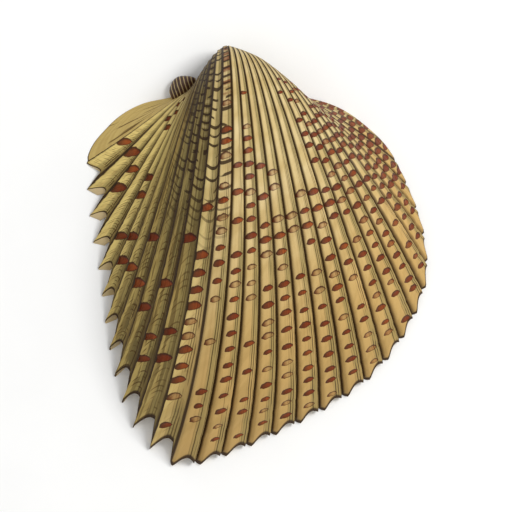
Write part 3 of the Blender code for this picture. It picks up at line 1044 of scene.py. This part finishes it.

# %% [markdown]
# ## Bands and threads
# The right part of each rib is an olive band with fine dark threads. Fine threads also run beside the
# grooves of the hind ribs, and a soft umber band beside each hind groove is painted shade. Close
# hatching of painted shade darkens the slope. Threads could be noise alone, which gives blots, or a
# wave alone, which looks ruled. Here they are a wave across the rib, made to wander and break by noise
# that is stretched along it.

# %% Bands and threads
OLIVE, GROOVE_SHADE_UMBER, TAN = paint(136, 122, 72), paint(118, 90, 34), paint(160, 128, 74)
THREAD_BROWN = paint(60, 42, 16)
THREADS_ON_RIB = 9.0
patch = r.fine_noise(rib_number, r.times(size, 3.2), 7.0, 1.0)
olive = r.times(r.window(0.48, 0.6, 0.93, 1.0, across), on_ribs, r.step(0.34, 0.5, patch))
# painted shade: a soft umber band beside each hind groove
groove_shade = r.times(hind_share, on_ribs, r.window(0.62, 0.85, 0.99, 1.0, across))
streaks = r.fine_noise(r.times(rib, 7.0), r.times(size, 2.5), 11.0, 3.0)
wobble = r.fine_noise(rib_number, r.times(size, 9.0), 3.0)
comb = r.math("ADD", r.times(across, THREADS_ON_RIB), wobble)
comb = r.math("COSINE", r.times(comb, 2 * math.pi))
broken = r.fine_noise(r.times(rib, 9.0), r.times(size, 11.0), 0.0)
front_place = r.times(r.window(0.46, 0.56, 0.92, 0.98, across), r.rest(hind_share))
right_side = r.window(0.68, 0.73, 0.95, 0.98, across)
left_side = r.window(0.02, 0.04, 0.12, 0.18, across)
hind_place = r.times(r.math("MAXIMUM", right_side, left_side), hind_share)
thread_low = r.math("SUBTRACT", 0.15, r.times(hind_share, 0.45))
threads = r.times(r.step(thread_low, 0.7, comb), r.step(0.38, 0.5, broken),
                  r.math("MAXIMUM", front_place, hind_place), on_ribs)
# painted shade: close hatching that darkens the steep slope
hatch_noise = r.fine_noise(r.times(rib, 4.6), r.times(size, 6.0), 5.0, 2.0)
slope_shade_hatch = r.times(r.step(0.48, 0.55, hatch_noise), slope_share, r.rest(r.times(size, 0.4)))
threads = r.math("MAXIMUM", threads, slope_shade_hatch)
ground = r.coats(
    ground,
    (r.times(olive, 0.62), OLIVE),
    (r.times(groove_shade, 0.4), GROOVE_SHADE_UMBER),
    (r.times(r.step(0.5, 0.7, streaks), 0.28), TAN),
    (r.times(threads, 0.85), THREAD_BROWN),
)
print("with bands and threads:", len(outside.node_tree.nodes), "nodes")

# %% [markdown]
# ## Bars, rust and strokes
# The ribs at the brink of the slope have dark bars across them like the joints of bamboo, and the
# one on the brink itself has rusty blocks near the beak. Short curved strokes lie along the growth
# lines near the hind teeth, and there is a fan of strokes on the smooth part above them. Each bar
# could be placed by hand. A wave down the rib with some of its crests left out gives the same look,
# and it crosses the rib straight because it reads the third map.

# %% Bars and strokes
BARRED_RIBS, PALE_RIBS = (6.0, 9.5, 12.95, 13.0), (9.9, 10.0, 13.0, 13.1)
RUSTY_RIB, FAN_PLACE = (12.0, 12.1, 12.8, 13.0), (39.2, 40.4, 41.9, 42.0)
RUST, PALE_STRAW = paint(108, 42, 16), paint(190, 168, 118)
BAR_BROWN, STROKE_BROWN = paint(46, 28, 10), paint(78, 52, 16)
BAR_COUNT, STROKE_COUNT = 58, 64  # waves from beak to margin
straight, kind = r.split_map("straight_and_kind")
bar_shift = r.times(r.fine_noise(rib_number, r.times(straight, 12.0), 8.0), 0.045)
bar_wave = r.math("SINE", r.times(r.math("ADD", straight, bar_shift), 2 * math.pi * BAR_COUNT))
bar_broken = r.fine_noise(r.times(rib, 0.8), r.times(straight, 34.0), 1.0, 1.0)
bars = r.times(r.step(0.5, 0.75, bar_wave), r.window(*BARRED_RIBS, rib),
               r.step(0.40, 0.46, bar_broken), r.window(0.1, 0.14, 0.42, 0.6, straight))
rust_noise = r.fine_noise(rib_number, r.times(straight, 72.0), 12.0, 1.0)
rust = r.times(r.step(0.48, 0.56, rust_noise), r.window(*RUSTY_RIB, rib),
               r.window(0.08, 0.1, 0.26, 0.36, straight))
pale = r.times(r.step(0.0, 0.8, r.times(bar_wave, -1.0)), r.window(*PALE_RIBS, rib),
               r.window(0.1, 0.4, 0.6, 0.9, across), r.rest(r.step(0.3, 0.55, straight)),
               r.step(0.4, 0.6, bar_broken))
stroke_wave = r.math("ADD", size, r.times(wobble, 0.03))
stroke_wave = r.math("SINE", r.times(stroke_wave, 2 * math.pi * STROKE_COUNT))
stroke_noise = r.fine_noise(r.times(rib, 2.2), r.times(size, 40.0), 9.0, 1.0)
strokes = r.times(r.step(0.5, 0.9, stroke_wave), r.step(0.44, 0.56, stroke_noise), hind_share,
                  on_ribs, r.window(0.2, 0.34, 0.8, 0.9, across), r.step(0.4, 0.7, size))
fan_noise = r.fine_noise(r.times(rib, 5.0), r.times(size, 2.0), 2.0)
fan = r.times(r.window(*FAN_PLACE, rib), r.step(0.56, 0.64, fan_noise))
ground = r.coats(
    ground,
    (r.times(rust, 0.8), RUST),
    (r.times(pale, 0.35), PALE_STRAW),
    (r.times(bars, 0.92), BAR_BROWN),
    (r.times(r.math("MAXIMUM", strokes, fan), 0.85), STROKE_BROWN),
)
print("with bars and strokes:", len(outside.node_tree.nodes), "nodes")

# %% [markdown]
# ## Groove lines and flecks
# A dark brown line lies in each groove, partly the groove's own darker colour and partly painted
# shade, and another runs round the margin. The flecks are red-brown half-moons, darker at the left end
# as painted shade, and dark along the arched edge. Some on the middle ribs are hollow: only their rim
# and left end are filled. Their outline is the same sum that swelled them in the mesh, read from the
# second map, so colour and swelling can't drift apart.

# %% Groove lines and flecks
GROOVE_WIDTH, MARGIN_LINE, WIDER_GROOVES = (0.12, 0.36), (0.986, 0.993), 1.6
LINE_BROWN, RIM_RED = paint(46, 25, 8), paint(62, 23, 10)
DEEP_RED, PALE_RED = paint(122, 44, 12), paint(154, 72, 24)
STREAK_RED, PAINTED_SHADE_RED, FRONT_RED = paint(94, 32, 8), paint(56, 19, 8), paint(100, 38, 12)
HOLLOW_KINDS = (0.70, 0.74)  # flecks whose random number lies above these are hollow
pitch = r.math("SUBTRACT", RIB_PITCH, r.times(r.math("ADD", front_share, hind_share), WIDER_GROOVES))
from_groove = r.times(edge, r.math("POWER", size, 0.65), pitch)
# partly painted shade: the dark line in each groove, which is also the groove's own darker colour
groove = r.times(r.rest(r.step(*GROOVE_WIDTH, from_groove)), on_ribs)
lines = r.math("MAXIMUM", groove, r.step(*MARGIN_LINE, size))
ground = r.blend(r.times(lines, 0.94), ground, LINE_BROWN)

u, v = r.split_map("on_fleck")
ragged = r.noise(r.node("TexCoord").outputs["Object"], 1900.0, 2.0)
ragged = r.times(r.math("SUBTRACT", ragged, 0.5), 0.5)
blunt = r.math("POWER", r.math("ABSOLUTE", u), BEAD_BLUNT)
room = r.math("SUBTRACT", r.math("ADD", ragged, 1.0), blunt)
from_arch = r.math("ADD", room, v)
inside_fleck = r.math("MINIMUM", from_arch, r.math("SUBTRACT", room, r.times(v, BEAD_FLAT)))
fleck = r.step(0.0, 0.14, inside_fleck)
streak = r.fine_noise(r.times(rib, 14.0), r.times(straight, 20.0), 6.0)
hollow = r.times(r.step(*HOLLOW_KINDS, kind), r.rest(hind_share), r.rest(front_share),
                 r.step(-0.8, 0.1, u), 0.75)
red = r.blend(r.step(0.2, 0.8, kind), DEEP_RED, PALE_RED)
# painted shade: each fleck is darker towards its left end
red = r.coats(
    red,
    (r.times(r.step(0.45, 0.7, streak), 0.6), STREAK_RED),
    (r.times(r.rest(r.step(-0.9, 0.5, u)), 0.85), PAINTED_SHADE_RED),
    (r.times(front_share, 0.5), FRONT_RED),
    (hollow, ground),
)
rim = r.math("MINIMUM", inside_fleck, r.times(from_arch, 0.62))
red = r.blend(r.step(0.12, 0.42, rim), RIM_RED, red)
ground = r.blend(r.times(fleck, 0.95), ground, red)
print("with lines and flecks:", len(outside.node_tree.nodes), "nodes")

# %% [markdown]
# ## The outside's sheen and relief
# A weathered shell is nearly matt, a little smoother on its flecks. Fine growth lines, chalky grain
# and the threads give it a low relief. They are far finer than the net of faces, so they are a
# bump.

# %% Outside sheen and relief
r.set(shell.inputs["Base Color"], ground)
rough = r.math("ADD", 0.42, r.times(grain["Mottle"], 0.28))
r.set(shell.inputs["Roughness"], r.math("SUBTRACT", rough, r.times(fleck, 0.1)))
height = r.math("ADD", r.times(growth["Height"], 0.7), r.times(grain["Height"], 0.25))
height = r.math("SUBTRACT", height, r.times(threads, 0.3))
add_bump(r, shell, height, strength=0.6, distance=0.12)
shell.inputs["Specular IOR Level"].default_value = 0.14
print("outside:", len(outside.node_tree.nodes), "nodes")

# %% [markdown]
# ## The inside of the valve
# The inside is porcelain: cream white, smoother and glossier than the outside, a little ochre under
# the beak and at the margin. The two muscle scars shine more than the rest, and a faint line joins
# them where the animal's soft mantle was fixed to the shell. One plain white would do from afar,
# but the scars are what makes it read as the inside of a shell. They are drawn from the same
# numbers that sank them into the wall.

# %% Inside material
IVORY, PEARL, AMBER = paint(240, 230, 208), paint(228, 214, 184), paint(204, 180, 130)
HONEY, LINE_TAN = paint(206, 178, 126), paint(200, 178, 142)
SCAR_GREY, MANTLE_GREY = paint(196, 178, 146), paint(188, 168, 132)
inside, r, shell = new_material("valve_inside")
rib_share, back_size = r.split_map("rib_and_size")
rib = r.times(rib_share, PLACES)
size = r.math("SUBTRACT", 2.0, back_size)
grain = use_group(r, grain_group, fineness=0.6)
growth = use_group(r, growth_group, size=size, rib=rib, spacing=0.6)
scar = 0.0
for place, at, wide, high in MUSCLE_SCARS:
    right = r.math("DIVIDE", r.math("SUBTRACT", rib, place), wide)
    up = r.math("DIVIDE", r.math("SUBTRACT", size, at), high)
    off = r.math("ADD", r.times(right, right), r.times(up, up))
    scar = r.math("MAXIMUM", scar, r.rest(r.step(0.8, 1.05, off)))
mantle_line = r.times(r.window(0.835, 0.842, 0.85, 0.857, size), r.window(2.0, 4.0, 26.0, 28.0, rib))
porcelain = r.blend(r.step(0.3, 0.7, grain["Mottle"]), IVORY, PEARL)
porcelain = r.coats(
    porcelain,
    (r.step(0.86, 1.0, size), AMBER),
    (r.times(r.rest(r.step(0.25, 0.6, size)), 0.5), HONEY),
    (r.times(growth["Tint"], 0.18), LINE_TAN),
    (r.times(scar, 0.45), SCAR_GREY),
    (r.times(mantle_line, 0.35), MANTLE_GREY),
)
r.set(shell.inputs["Base Color"], porcelain)
rough = r.math("ADD", 0.24, r.times(grain["Mottle"], 0.2))
r.set(shell.inputs["Roughness"], r.math("SUBTRACT", rough, r.times(scar, 0.1)))
height = r.math("ADD", r.times(growth["Height"], 0.6), r.times(grain["Height"], 0.15))
add_bump(r, shell, height, strength=0.35, distance=0.1)
print("inside:", len(inside.node_tree.nodes), "nodes")

# %% [markdown]
# ## The ligament's finish
# It is dark brown horn, a little glossy where it is smooth, with a pale fibrous stripe in every
# furrow. Stripes could run straight across in object space, but then they would cut the bowed pad
# at a slant. So they read the layer that the extrusion wrote and follow the bow.

# %% Ligament material
HORN, PALE_HORN, FIBRE = paint(46, 24, 12), paint(76, 42, 18), paint(196, 172, 120)
horn, r, shell = new_material("ligament_horn")
along = r.node("Attribute", attribute_name="along").outputs["Fac"]
grain = use_group(r, grain_group, fineness=1.4)
wander = r.times(r.math("SUBTRACT", grain["Mottle"], 0.5), 0.03)
wave = r.math("COSINE", r.times(r.math("ADD", along, wander), 2 * math.pi * LIGAMENT_BANDS))
stripe = r.times(r.step(0.5, 0.85, wave), r.step(0.25, 0.5, grain["Mottle"]))
horn_colour = r.blend(r.step(0.3, 0.7, grain["Mottle"]), HORN, PALE_HORN)
r.set(shell.inputs["Base Color"], r.blend(r.times(stripe, 0.85), horn_colour, FIBRE))
r.set(shell.inputs["Roughness"], r.math("ADD", 0.35, r.times(stripe, 0.25)))
add_bump(r, shell, grain["Height"], strength=0.6, distance=0.1)
print("ligament:", len(horn.node_tree.nodes), "nodes")

# %% [markdown]
# ## Join and dress
# The hinge teeth join the valve and the materials go into its two slots. Smooth shading alone would
# smear the light round the rim, so edges of more than 60 degrees stay sharp. Each piece then hides the
# solid it stands for and is hung on the root body.

# %% Dress
SHARP_EDGE = math.radians(60)
valve.data.materials.append(outside)
valve.data.materials.append(inside)
for tooth in hinge_teeth:
    tooth.data.materials.append(inside)
clear_selection()
for piece in (*hinge_teeth, valve):
    piece.select_set(True)
bpy.context.view_layer.objects.active = valve
bpy.ops.object.join()
bpy.ops.object.shade_smooth_by_angle(angle=SHARP_EDGE)
ligament.data.materials.append(horn)
for piece, node, slot in ((valve, "valve", "valve"), (ligament, "ligament", "ligament")):
    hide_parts(node)
    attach(piece, "root")
print("pieces:", [(p.name, len(p.data.polygons), len(p.data.materials)) for p in (valve, ligament)])

# %% [markdown]
# ## Floor and light
# The shell lies on a pale floor. A soft lamp stands to the upper right, so that the steep slope
# left of the beak falls into shade. A sun would do too, but its shadows have hard edges. A white
# sky fills in the rest.

# %% Floor and light
FLOOR_SIZE, FLOOR_DROP, FLOOR_ROUGHNESS = 4.0, 0.02 * MM, 0.9
PAPER_TONES = (0.87, 0.87, 0.86, 1), (0.91, 0.91, 0.90, 1)
SKY_STRENGTH, LAMP_SIZE, LAMP_POWER = 0.66, 0.2, 2.25
LAMP_PLACE = Vector((0.30, 0.17, 0.46))
clear_selection()
bpy.ops.mesh.primitive_plane_add(size=FLOOR_SIZE, location=(0, 0, -FLOOR_DROP))
floor = bpy.context.object
floor.name = "floor"
paper, r, surface = new_material("floor_paper")
paper_noise = r.noise(r.node("TexCoord").outputs["Object"], 90.0, 3.0)
r.set(surface.inputs["Base Color"], r.blend(paper_noise, *PAPER_TONES))
surface.inputs["Roughness"].default_value = FLOOR_ROUGHNESS
floor.data.materials.append(paper)
floor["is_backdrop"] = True

world = bpy.data.worlds.new("studio")
bpy.context.scene.world = world
world.use_nodes = True
sky = world.node_tree.nodes["Background"]
sky.inputs["Color"].default_value = (1.0, 1.0, 1.0, 1)
sky.inputs["Strength"].default_value = SKY_STRENGTH

light = bpy.data.lights.new("key_light", "AREA")
light.size, light.energy = LAMP_SIZE, LAMP_POWER
lamp = bpy.data.objects.new("key_light", light)
lamp.location = LAMP_PLACE
lamp.rotation_mode = "QUATERNION"
lamp.rotation_quaternion = (-LAMP_PLACE).to_track_quat("-Z", "Y")
bpy.context.scene.collection.objects.link(lamp)
print("the lamp stands", round(LAMP_PLACE.length, 2), "m from the shell")

# %% [markdown]
# ## Camera
# The camera looks straight down. A drawing of a shell has no perspective, and a flat view could
# come from an orthographic camera. A very long lens from far off looks almost the same and is still
# a real one. Its distance follows from the size that one dot of the picture has on the shell.

# %% Camera
PICTURE, DOT, LENS, SENSOR = 512, 0.148 * MM, 400, 36
lens = bpy.data.cameras.new("camera")
lens.lens, lens.sensor_width = LENS, SENSOR
camera = bpy.data.objects.new("camera", lens)
camera.location = (-1.1 * DOT, 0.2 * DOT, PICTURE * DOT * LENS / SENSOR)
bpy.context.scene.collection.objects.link(camera)
bpy.context.scene.camera = camera
bpy.context.scene.view_settings.view_transform = "Standard"
print("the camera hangs", round(camera.location.z, 3), "m above the floor")

# %% [markdown]
# ## Measure and finish
# The finished model's box is printed.

# %% Finish
low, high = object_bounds()
print("finished:", [round(1000 * x, 2) for x in (*low, *high)])
